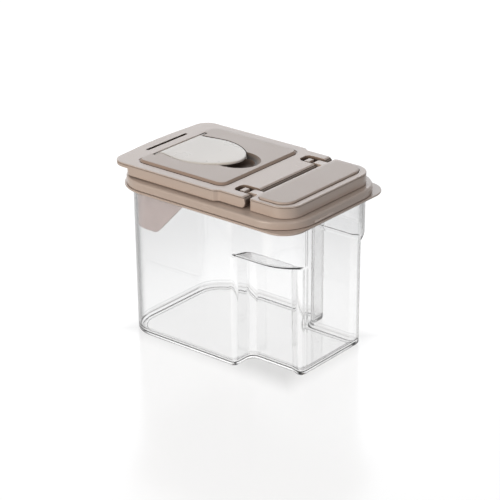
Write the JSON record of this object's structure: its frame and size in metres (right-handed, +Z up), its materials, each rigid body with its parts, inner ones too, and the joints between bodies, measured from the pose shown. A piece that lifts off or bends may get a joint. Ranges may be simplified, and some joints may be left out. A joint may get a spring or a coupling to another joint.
{
  "type": "dry food keeper",
  "caption": "Clear keeper tub with a lift-off lid, a hinged main flap and a flip spout in the flap, with a pouring chute and side grips",
  "frame": {"origin": "middle of the tub's length and width, on the face that it stands on", "axes": "+X along the length towards the hinge end, +Y across the width, +Z up"},
  "size_m": [0.206, 0.1428, 0.1618],
  "materials": {
    "clear_plastic": "clear, glossy",
    "taupe_plastic": "satin moulded",
    "cream_plastic": "satin moulded",
    "silicone": "soft, translucent white"
  },
  "bodies": {
    "tub": {"tub": "clear_plastic"},
    "lid": {"lid_base": "taupe_plastic", "lid_seal": "silicone", "pour_chute": "taupe_plastic", "rear_deck": "taupe_plastic"},
    "flap": {"main_flap": "taupe_plastic", "flap_seal": "silicone"},
    "spout": {"spout_tab": "cream_plastic", "spout_seal_ring": "silicone"}
  },
  "joints": [
    {"name": "lid_lift", "type": "slide", "parent": "tub", "child": "lid", "axis": [0, 0, 1], "range_m": [0, 0.06]},
    {"name": "flap_hinge", "type": "hinge", "parent": "lid", "child": "flap", "pos_m": [0.041, 0, 0.1537], "axis": [0, 1, 0], "range_deg": [0, 110]},
    {"name": "spout_hinge", "type": "hinge", "parent": "flap", "child": "spout", "pos_m": [-0.0777, 0, 0.1595], "axis": [0, -1, 0], "range_deg": [0, 105]}
  ]
}
